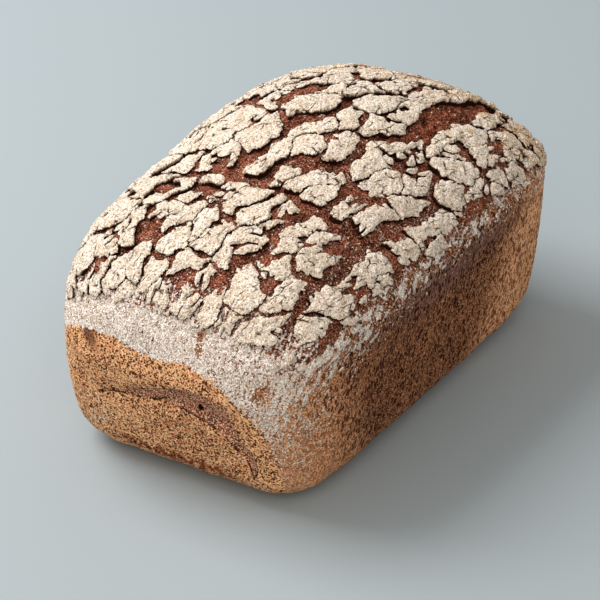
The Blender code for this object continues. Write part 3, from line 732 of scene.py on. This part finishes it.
def makeCrust():
    count = crustPlan["grid"]
    piece = newGrid("loaf_crust", count, count)
    mesh = piece.data
    p, q, z = crustSheet(count, mesh)
    base = atHeight(p, q, z)
    x, y = base[:, 0], base[:, 1]
    placeVertices(mesh, base)
    normals = np.empty(len(mesh.vertices) * 3)
    mesh.vertices.foreach_get("normal", normals)
    normals = normals.reshape(-1, 3)

    _, inside = plateField(p, q)
    depth = flourDepth(p, q)
    covered = ramp(inside, 0.0006, 0.0014) * ramp(depth, 0.15, 0.5)
    torn = ramp(depth, 0.05, 0.6)
    fold = np.exp(-((distanceToPath(p, q, crustPlan["foldPath"]) / (crustPlan["foldWidth"] / 2)) ** 2))
    onNearEnd = x < crustPlan["nearEndFrom"]
    scar = np.where(onNearEnd, insideOutline(y, base[:, 2], crustPlan["scar"]), -0.01)
    hole = onNearEnd * sum(spot(y, base[:, 2], middle, size) for middle, size in crustPlan["holes"])
    offFoot = ramp(z, 0.0015, 0.006)
    crags = layeredNoise(p, q, crustPlan["tornRelief"], 71)
    craggier, reach = crustPlan["widestTear"]
    crags *= 1 + craggier * np.exp(-((distanceToPath(p, q, crackPlan["tears"][0][2]) / reach) ** 2))
    relief = torn * (1 - covered) * crags * (0.45 + 0.55 * ramp(-inside, 0.0003, 0.0020))  # calmer beside the plates
    relief += (1 - torn) * offFoot * layeredNoise(p, q, crustPlan["bakedRelief"], 83)
    relief -= tornDepth(p, q) * torn + crustPlan["foldDepth"] * fold + crustPlan["underPlates"] * covered
    relief -= crustPlan["scarLip"] * ramp(scar, -0.0003, 0.0009) + crustPlan["holeDepth"] * hole
    placeVertices(mesh, base + normals * relief[:, None])

    tin, dust, bare = looseFlour(p, q, base)
    sideways = ramp(np.abs(q), 0.052, 0.070)
    # paler and redder towards the far end, at the foot and at the near corners
    toast = 1.3 * sideways * ramp(p, 0.030, 0.100) + 0.35 * sideways * ramp(z, 0.016, 0.002)
    toast += 0.58 * sideways * ramp(p, -0.070, -0.120)
    edge = ramp(z, 0.0065, 0.0085) * ramp(z, 0.0155, 0.012) * ramp(y, -0.030, -0.015) * ramp(y, 0.034, 0.020)
    middle, size, share = crustPlan["bruise"]
    bloomMiddle, bloomSize, drawnOut = crustPlan["bloom"]
    baked = {
        "p": p,
        "q": q,
        "torn": bare,
        # the height of the torn floor's crags, from which its hollows are painted darker as painted shade
        "crag": crags / 0.0012,  # to about 1
        "dust": dust * (1 - dustPlan["crumbsInstead"] * bare * ramp(p, -0.098, -0.080)),
        "tin": tin,
        "scar": scar,
        "scorch": share * spot(p, q, middle, size),
        "bloom": spot(p * drawnOut, q, bloomMiddle, bloomSize),
        "toast": np.clip(toast, 0, 1),
        "patchy": np.maximum(sideways * ramp(p, -0.150, -0.095), 0.85 * ramp(p, 0.100, 0.115)),
        "browned": ramp(q, 0.078, 0.100) * ramp(np.abs(p), 0.120, 0.060),  # the left side, but for its corners
        "deep": onNearEnd * spot(y, base[:, 2] * 1.4, (-0.008, 0.030), 0.020),  # round the scar
        "edge": onNearEnd * edge,
    }
    for name, values in baked.items():
        setAttribute(mesh, name, values)

    bpy.ops.object.mode_set(mode="EDIT")
    selectOpenEdges()
    bpy.ops.mesh.edge_face_add()
    bpy.ops.mesh.select_all(action="SELECT")
    bpy.ops.mesh.normals_make_consistent(inside=False)
    bpy.ops.object.mode_set(mode="OBJECT")
    thin = piece.modifiers.new("thin", "DECIMATE")
    thin.ratio = crustPlan["triangles"] / (2 * count * count + 4 * count)
    bpy.ops.object.modifier_apply(modifier=thin.name)
    bpy.ops.object.shade_smooth_by_angle(angle=crustPlan["smoothUnder"])
    tellSize(piece)
    return piece


# crumbs of dried flour that lie loose on the crust
crumbPlan = {
    "seed": 23,
    "along": (-0.145, 0.125),
    "across": (-0.125, 0.092),
    "tries": 60000,
    "most": 9000,
    "clearOfPlates": 0.0003,
    "clearOfEnds": 0.0010,
    "fewerWhereThin": 1.5,  # power of the share of loose flour
    "halfSize": (0.00016, 0.00042),
    "mostlySmall": 2.5,
    "flatness": 0.75,
    "uneven": 0.25,
    "raised": 0.3,  # in half sizes
}


def makeCrumbs(crust):
    draws = np.random.default_rng(crumbPlan["seed"])
    p = draws.uniform(*crumbPlan["along"], crumbPlan["tries"])
    q = draws.uniform(*crumbPlan["across"], crumbPlan["tries"])
    base = atHeight(p, q, heightUnder(p, q))
    tin, dust, _ = looseFlour(p, q, base)
    _, inside = plateField(p, q)
    betweenPlates = (inside < -crumbPlan["clearOfPlates"]) & (tin < -crumbPlan["clearOfEnds"])
    lies = draws.uniform(0, 1, len(p)) < dust ** crumbPlan["fewerWhereThin"]
    chosen = np.flatnonzero(betweenPlates & lies)[:crumbPlan["most"]]
    tree = BVHTree.FromObject(crust, bpy.context.evaluated_depsgraph_get())
    found = [tree.find_nearest(Vector(place)) for place in base[chosen]]
    places = np.array([point for point, *_ in found])
    normals = np.array([normal for _, normal, *_ in found])

    deselectAll()
    bpy.ops.mesh.primitive_ico_sphere_add(subdivisions=1, radius=1)
    piece = bpy.context.object
    piece.name = "flour_crumbs"
    piece.data.name = "flour_crumbs"
    mesh = piece.data
    corners = readCoordinates(mesh)
    copies = piece.modifiers.new("copies", "ARRAY")
    copies.count = len(chosen)
    bpy.ops.object.modifier_apply(modifier=copies.name)
    uneven = crumbPlan["uneven"]
    wobble = draws.uniform(1 - uneven, 1 + uneven, (len(chosen), len(corners), 1))
    small = draws.uniform(0, 1, len(chosen)) ** crumbPlan["mostlySmall"]
    sizes = (small * np.ptp(crumbPlan["halfSize"]) + crumbPlan["halfSize"][0])[:, None, None]
    turn = draws.uniform(0, 2 * math.pi, len(chosen))
    alongside = np.cross(normals, np.stack([np.cos(turn), np.sin(turn), 0.3 * np.sin(3 * turn)], axis=-1))
    alongside /= np.linalg.norm(alongside, axis=1, keepdims=True)
    axes = np.stack([alongside, np.cross(normals, alongside), normals * crumbPlan["flatness"]], axis=1)
    lifted = places[:, None] + normals[:, None] * crumbPlan["raised"] * sizes
    placeVertices(mesh, (lifted + corners[None] * wobble * sizes @ axes).reshape(-1, 3))
    for name, values in (("p", p[chosen]), ("q", q[chosen]), ("layer", np.zeros(len(chosen)))):
        setAttribute(mesh, name, np.repeat(values, len(corners)))
    tellSize(piece)
    return piece


# colours are given as a paint shop would, and turned to what the renderer adds up
def linear(hexColour):
    channels = [int(hexColour[k:k + 2], 16) / 255 for k in (1, 3, 5)]
    return tuple(c / 12.92 if c <= 0.04045 else ((c + 0.055) / 1.055) ** 2.4 for c in channels) + (1.0,)


def addNode(tree, kind, *inputs, out=0, **named):
    # inputs are given in order, by name with spaces as underscores, or by number as _6, each as a value or another
    # node's output; names in small letters are the node's settings
    node = tree.nodes.new("ShaderNode" + kind)
    sockets = dict(enumerate(inputs))
    for key, value in named.items():
        if key[0] == "_":
            sockets[int(key[1:])] = value
        elif key[0].isupper():
            sockets[key.replace("_", " ")] = value
        else:
            setattr(node, key, value)
    for key, value in sockets.items():
        if isinstance(value, bpy.types.NodeSocket):
            tree.links.new(value, node.inputs[key])
        else:
            node.inputs[key].default_value = value
    return node.outputs[out]


def startMaterial(name, look):
    # the material, what adds nodes to it, its paints, its unevenness by name, and where it is on the loaf
    made = bpy.data.materials.new(name)
    made.use_nodes = True
    node = partial(addNode, made.node_tree)
    paint = {key: linear(value) for key, value in look.items() if isinstance(value, str)}
    place = node("TexCoord", out="Object")
    uneven = {key: node("TexNoise", Vector=place, Scale=1 / size, Detail=detail, Roughness=0.6)
              for key, (size, detail) in look["patches"].items()}
    return made, node, paint, uneven, place


def finishMaterial(made, look, colour, roughness, height):
    tree = made.node_tree
    shader = tree.nodes["Principled BSDF"]
    normal = addNode(tree, "Bump", Strength=look["bump"], Distance=look["bumpDepth"], Height=height)
    for name, value in (("Base Color", colour), ("Roughness", roughness), ("Normal", normal)):
        tree.links.new(value, shader.inputs[name])
    shader.inputs["Specular IOR Level"].default_value = look["gloss"]
    shader.inputs["IOR"].default_value = 1.45  # dried starch
    return made


def coat(node, under, over, share, most=1.0):
    # one colour over another, thick by the share times the most
    thick = node("Math", share, most, operation="MULTIPLY")
    return node("Mix", thick, _6=under, _7=over, data_type="RGBA", out=2)


def shaken(node, place, patch, reach):
    # the place, moved to and fro by up to half the reach
    moved = node("TexNoise", Vector=place, Scale=1 / patch, Detail=2.0, out="Color")
    moved = node("VectorMath", moved, (0.5, 0.5, 0.5), operation="SUBTRACT")
    return node("VectorMath", moved, (reach, reach, reach), place, operation="MULTIPLY_ADD")


def pits(node, place, spacing, size, softness):
    # uneven pits: 1 in their middles and 0 outside, sizes in metres
    away = node("TexVoronoi", Vector=shaken(node, place, 0.0010, 0.0009), Scale=1 / spacing, Randomness=0.9,
                out="Distance")
    uneven = node("TexNoise", Vector=place, Scale=1 / 0.0026, Detail=2.0, Roughness=0.6)
    uneven = node("Math", uneven, 0.5, operation="SUBTRACT")
    away = node("Math", uneven, 0.55, away, operation="MULTIPLY_ADD")
    return node("MapRange", away, size / spacing, (size - softness) / spacing)


flourLook = {
    "cream": "#E3D4C2",
    "shade": "#CDB7A0",
    "warm": "#C29A6A",
    "bright": "#FFF6EB",
    "dull": "#AA8E70",
    # the plates' walls: brown crust, darkened as painted shade under the rims
    "wallBrownAndShade": "#321409",
    "pit": "#8A6A4C",
    "hairline": "#4E3322",
    # patch size in metres, and detail; the grain is coarser than real flour, so that it shows
    "patches": {"tone": (0.009, 4.0), "stains": (0.0042, 3.0), "grain": (0.0006, 2.0), "opening": (0.0060, 2.0),
                "lumps": (0.0018, 2.0)},
    "moreStainsFar": 0.26,
    "hairlineCells": (0.0085, 0.0032),
    "gloss": 0.1,
    "bump": 0.9,
    "bumpDepth": 0.0009,
}


def driedFlour():
    # dough dusted with flour that dried to a chalky skin: the eye gets a matte, granular cream with tiny pits, and
    # walls of brown crust darkened with painted shade under their rims
    made, node, paint, uneven, place = startMaterial("driedFlour", flourLook)
    along, across, layer = (node("Attribute", attribute_name=name, out="Fac") for name in ("p", "q", "layer"))
    grain = uneven["grain"]
    colour = coat(node, paint["cream"], paint["shade"], node("MapRange", uneven["tone"], 0.38, 0.68))
    farther = node("MapRange", along, 0.040, 0.098, 0.0, flourLook["moreStainsFar"])
    stained = node("MapRange", node("Math", uneven["stains"], farther), 0.60, 0.76)
    colour = coat(node, colour, paint["warm"], stained)
    colour = coat(node, colour, paint["bright"], node("MapRange", grain, 0.52, 0.64))
    colour = coat(node, colour, paint["dull"], node("MapRange", grain, 0.45, 0.33))
    tiny = pits(node, place, 0.0014, 0.00042, 0.00018)
    colour = coat(node, colour, paint["pit"], tiny, 0.60)

    # hairline cracks, mostly along the plates
    sheet = shaken(node, node("CombineXYZ", along, across), 0.003, 0.0022)
    turned = node("Mapping", Vector=sheet, Rotation=(0.0, 0.0, -crackPlan["slant"]))
    length, width = flourLook["hairlineCells"]
    shrunk = node("Mapping", Vector=turned, Scale=(1 / length, 1 / width, 1.0))
    border = node("TexVoronoi", Vector=shrunk, Scale=1.0, voronoi_dimensions="2D", feature="DISTANCE_TO_EDGE",
                  out="Distance")
    hairline = node("Math", node("MapRange", border, 0.065, 0.025), node("MapRange", uneven["opening"], 0.51, 0.62),
                    operation="MULTIPLY")
    colour = coat(node, colour, paint["hairline"], hairline)
    # the walls and buried foot of each plate: the crust's own brown, darkened as painted shade under the plate's rim
    colour = coat(node, colour, paint["wallBrownAndShade"], node("MapRange", layer, 0.25, 0.95))

    roughness = node("MapRange", grain, 0.40, 0.60, 0.97, 0.88)
    lowered = node("Math", tiny, 0.6, hairline, operation="MULTIPLY_ADD")
    height = node("Math", node("Math", grain, uneven["lumps"]), lowered, operation="SUBTRACT")
    return finishMaterial(made, flourLook, colour, roughness, height)


crustLook = {
    "golden": "#F2B27E",
    "goldenDeep": "#CC885C",
    "goldenBright": "#FFE0B2",
    "goldenDull": "#9A4C14",
    "goldenPore": "#461800",
    "side": "#9A5E3A",
    "sideDeep": "#6E3C22",
    "sideBright": "#DCAE8A",
    "sideDull": "#542A18",
    "sidePore": "#2C0E04",
    "toast": "#F8AE78",
    "toastBright": "#FFE2C0",
    "toastDull": "#9A5830",
    "bloom": "#7A5C54",
    "torn": "#7F402E",
    # darker brown at random, and painted shade in the torn floor's hollows
    "tornDeepAndShade": "#431D14",
    "tornBright": "#CC9474",
    "tornDull": "#341008",
    "tornPore": "#2A0E06",
    "scar": "#AC644A",
    "scarDeep": "#70402E",
    "scarBright": "#F6CCA8",
    "bruise": "#5C382C",
    # nearly black: painted shade in the middles of the scar's holes
    "scorch": "#1C0B06",
    "scarLine": "#3C1A10",
    "edge": "#8E5236",
    "dust": "#EADFD6",
    "dustShade": "#D4C4B6",
    "dustBright": "#FFFAF2",
    "dustDull": "#A48876",
    # patch size in metres, and detail; the grain is coarser than the real one, so that it shows
    "patches": {"tone": (0.016, 4.0), "grain": (0.0006, 2.0), "rim": (0.0035, 5.0), "mottling": (0.006, 3.0),
                "blotches": (0.0030, 3.0), "wavering": (0.0035, 3.0), "floor": (0.0034, 4.0),
                "specks": (0.0011, 2.0), "drifts": (0.0055, 3.0), "crags": (0.0022, 3.0)},
    "raggedRim": 0.009,
    "scarLineWidth": 0.0018,
    "streakPatch": 0.0030,
    "streakSlant": math.radians(-24),
    "gloss": 0.02,
    "bump": 0.8,
    "bumpDepth": 0.0006,
}


def bakedCrust():
    # rye and buckwheat dough baked against tin and split on top: matte brown, pricked with open pores
    made, node, paint, uneven, place = startMaterial("bakedCrust", crustLook)
    names = "p q torn crag dust tin scar scorch bloom toast patchy browned deep edge".split()
    baked = {name: node("Attribute", attribute_name=name, out="Fac") for name in names}
    grain = uneven["grain"]
    tone = node("MapRange", uneven["tone"], 0.36, 0.66)
    bright = node("MapRange", grain, 0.51, 0.60)
    dull = node("MapRange", grain, 0.49, 0.40)
    rim = node("Math", uneven["rim"], 0.5, operation="SUBTRACT")
    rim = node("Math", rim, crustLook["raggedRim"], baked["tin"], operation="MULTIPLY_ADD")
    golden = node("MapRange", rim, -0.0003, 0.0004)

    # the long sides
    toasted = baked["toast"]
    colour = coat(node, paint["side"], paint["sideDeep"], tone)
    colour = coat(node, colour, paint["toast"], toasted, 0.85)
    colour = coat(node, colour, coat(node, paint["sideBright"], paint["toastBright"], toasted), bright, 0.60)
    colour = coat(node, colour, coat(node, paint["sideDull"], paint["toastDull"], toasted), dull, 0.70)
    mottled = node("Math", uneven["mottling"], 0.8, operation="MULTIPLY")
    mottled = node("Math", baked["bloom"], 0.5, mottled, operation="MULTIPLY_ADD")
    colour = coat(node, colour, paint["bloom"], node("MapRange", mottled, 0.55, 0.85), 0.6)
    upright = node("Mapping", Vector=place, Scale=(1.0, 1.0, 0.55))  # pores are taller than wide
    smaller = node("Math", pits(node, upright, 0.0010, 0.00044, 0.00014), 0.85, operation="MULTIPLY")
    sidePores = node("Math", pits(node, upright, 0.0018, 0.00070, 0.00022), smaller, operation="MAXIMUM")
    poreColour = coat(node, paint["sidePore"], paint["toastDull"], toasted, 0.45)
    colour = coat(node, colour, poreColour, sidePores, node("MapRange", baked["patchy"], 0.0, 1.0, 0.25, 0.95))

    # the baked ends
    deeper = node("Math", baked["deep"], 0.6, tone, operation="MULTIPLY_ADD")
    end = coat(node, paint["golden"], paint["goldenDeep"], deeper)
    end = coat(node, end, paint["goldenBright"], bright, 0.8)
    end = coat(node, end, paint["goldenDull"], dull, 0.5)
    end = coat(node, end, paint["edge"], baked["edge"], node("MapRange", uneven["blotches"], 0.44, 0.52))
    endPores = node("Math", pits(node, place, 0.00095, 0.00043, 0.00014), pits(node, place, 0.0024, 0.00056, 0.00020),
                    operation="MAXIMUM")
    end = coat(node, end, paint["goldenPore"], endPores, 0.95)
    colour = coat(node, colour, end, golden, node("MapRange", baked["browned"], 0.0, 1.0, 1.0, 0.15))

    # the scar on the near end, with a dark line all round it, its holes, painted nearly black in their middles as
    # painted shade, and the bruise beside it
    scar = baked["scar"]
    onScar = coat(node, paint["scar"], paint["scarDeep"], node("MapRange", uneven["blotches"], 0.42, 0.60))
    onScar = coat(node, onScar, paint["scarBright"], bright, 0.9)
    onScar = coat(node, onScar, paint["scarLine"], dull, 0.75)
    colour = coat(node, colour, onScar, node("MapRange", scar, -0.0002, 0.0004))
    line = node("Math", uneven["wavering"], -crustLook["scarLineWidth"], node("Math", scar, operation="ABSOLUTE"),
                operation="MULTIPLY_ADD")
    colour = coat(node, colour, paint["scarLine"], node("MapRange", line, -0.0006, -0.0009))
    scorched = node("Math", baked["scorch"], 0.6, grain, operation="MULTIPLY_ADD")
    colour = coat(node, colour, paint["bruise"], node("MapRange", scorched, 0.72, 0.86), 0.85)
    facing = node("VectorMath", shaken(node, place, 0.0015, 0.0012), (0.0, 1.0, 1.0), operation="MULTIPLY")
    onlyScar = node("MapRange", scar, -0.001, 0.0)
    # the middles of the holes are painted nearly black, as painted shade in them
    for (y, z), size in crustPlan["holes"]:
        away = node("VectorMath", facing, (0.0, y, z), operation="DISTANCE", out="Value")
        colour = coat(node, colour, paint["scorch"], node("MapRange", away, size * 0.75, size * 0.45), onlyScar)

    # the torn floor between the plates, painted darker in the hollows of its crags as painted shade, and darker or
    # paler at random
    raised = node("Math", baked["crag"], 0.13, uneven["floor"], operation="MULTIPLY_ADD")
    floor = coat(node, paint["tornDeepAndShade"], paint["torn"], node("MapRange", raised, 0.38, 0.62))
    floor = coat(node, floor, paint["tornBright"], bright, 0.50)
    floor = coat(node, floor, paint["tornDull"], dull, 0.70)
    floor = coat(node, floor, paint["tornPore"], pits(node, place, 0.0014, 0.00045, 0.00025), 0.6)
    colour = coat(node, colour, floor, baked["torn"])

    # loose flour, in specks where it is thin, and in long patches where the crust is patchy
    sheet = node("CombineXYZ", baked["p"], baked["q"])
    turned = node("Mapping", Vector=sheet, Rotation=(0.0, 0.0, crustLook["streakSlant"]))
    drawn = node("Mapping", Vector=turned, Scale=(0.45, 1.0, 1.0))
    streaks = node("TexNoise", Vector=drawn, Scale=1 / crustLook["streakPatch"], Detail=3.0, Roughness=0.6)
    coarse = node("MapRange", baked["patchy"], 0.0, 1.0, 0.22, 0.68)
    fine = node("Math", 0.88, coarse, operation="SUBTRACT")
    lying = node("Math", uneven["drifts"], 0.12, operation="MULTIPLY")
    for pattern, share in ((streaks, coarse), (uneven["specks"], fine), (baked["dust"], 0.26)):
        lying = node("Math", pattern, share, lying, operation="MULTIPLY_ADD")
    dusted = node("MapRange", lying, 0.640, 0.675)
    dust = coat(node, paint["dust"], paint["dustShade"], node("MapRange", uneven["drifts"], 0.40, 0.62))
    dust = coat(node, dust, paint["dustBright"], bright)
    dust = coat(node, dust, paint["dustDull"], dull, 0.6)
    colour = coat(node, colour, dust, dusted, 0.93)

    roughness = node("MapRange", dusted, 0.0, 1.0, 0.78, 0.94)
    height = node("Math", dusted, 0.4, grain, operation="MULTIPLY_ADD")
    craggy = node("MapRange", baked["torn"], 0.0, 1.0, 1.0, 2.6)
    height = node("Math", uneven["crags"], craggy, height, operation="MULTIPLY_ADD")
    pores = node("Mix", golden, _2=sidePores, _3=endPores)
    sunk = node("MapRange", baked["torn"], 0.0, 1.0, -1.0, 0.0)  # torn floors have no such pores
    height = node("Math", pores, sunk, height, operation="MULTIPLY_ADD")
    return finishMaterial(made, crustLook, colour, roughness, height)


studio = {
    "keyFrom": (-0.12, 0.80, 0.95),
    "keyDistance": 1.2,
    "keySize": 0.80,
    "keyPower": 17.6,
    "fillFrom": (-0.9, -0.42, 0.62),
    "fillSize": 0.9,
    "fillPower": 5.8,
    "fillColour": "#FFF2E4",
    "sky": "#E8E8E6",
    "skyStrength": 0.68,
    "floor": "#97A0A4",
    "floorSize": 6,
}


def makeStage():
    # a matte pale floor, which takes a soft shadow
    made = bpy.data.materials.new("paleFloor")
    made.use_nodes = True
    shader = made.node_tree.nodes["Principled BSDF"]
    shader.inputs["Base Color"].default_value = linear(studio["floor"])
    shader.inputs["Roughness"].default_value = 0.9
    deselectAll()
    bpy.ops.mesh.primitive_plane_add(size=studio["floorSize"], location=(0, 0, 0))
    floor = bpy.context.object
    floor.name = "floor"
    floor.data.materials.append(made)


def areaLight(name, direction, distance, size, power, colour="#FFFFFF"):
    direction = Vector(direction).normalized()
    bpy.ops.object.light_add(type="AREA", location=direction * distance)
    lamp = bpy.context.object
    lamp.name = name
    lamp.data.size = size
    lamp.data.energy = power
    lamp.data.color = linear(colour)[:3]
    lamp.rotation_euler = direction.to_track_quat("Z", "Y").to_euler()
    return lamp


def lightStudio():
    areaLight("key", studio["keyFrom"], studio["keyDistance"], studio["keySize"], studio["keyPower"])
    areaLight("fill", studio["fillFrom"], studio["keyDistance"], studio["fillSize"], studio["fillPower"],
              studio["fillColour"])
    world = bpy.data.worlds.new("studioSky")
    bpy.context.scene.world = world
    world.use_nodes = True
    background = world.node_tree.nodes["Background"]
    background.inputs["Color"].default_value = linear(studio["sky"])
    background.inputs["Strength"].default_value = studio["skyStrength"]
    bpy.context.scene.view_settings.view_transform = "Standard"


view = {
    "lens": 180.0,
    "sensor": 36.0,
    "turn": math.radians(32.12),
    "lift": math.radians(30.33),
    "distance": 1.1051,
    "target": (-0.0242, -0.0090, 0.045),
}


def placeCamera():
    turn, lift = view["turn"], view["lift"]
    back = Vector((-math.cos(turn) * math.cos(lift), -math.sin(turn) * math.cos(lift), math.sin(lift)))
    bpy.ops.object.camera_add(location=Vector(view["target"]) + back * view["distance"])
    camera = bpy.context.object
    camera.data.lens = view["lens"]
    camera.data.sensor_width = view["sensor"]
    camera.data.clip_start = 0.01
    camera.rotation_euler = back.to_track_quat("Z", "Y").to_euler()
    bpy.context.scene.camera = camera


flourMaterial = driedFlour()
crustMaterial = bakedCrust()
print("materials:", flourMaterial.name, "and", crustMaterial.name)
crust = makeCrust()
crust.data.materials.append(crustMaterial)
low = (crackPlan["nearEdge"][0] - 0.004, crackPlan["rightEdge"][0] - 0.004)  # a little past the flour
high = (crackPlan["farEdge"][0] + 0.004, crackPlan["leftEdge"][0] + 0.004)
platesNear = makePlates("flour_plates_near", low, (0.016, high[1]))  # the two overlap by a plate's length
platesFar = makePlates("flour_plates_far", (-0.016, low[1]), high)
crumbs = makeCrumbs(crust)
for piece in (platesNear, platesFar, crumbs):
    piece.data.materials.append(flourMaterial)
for piece in (crust, platesNear, platesFar, crumbs):
    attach(piece, "root")
    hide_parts("loaf")
makeStage()
lightStudio()
placeCamera()
print("floor, lights and camera placed")
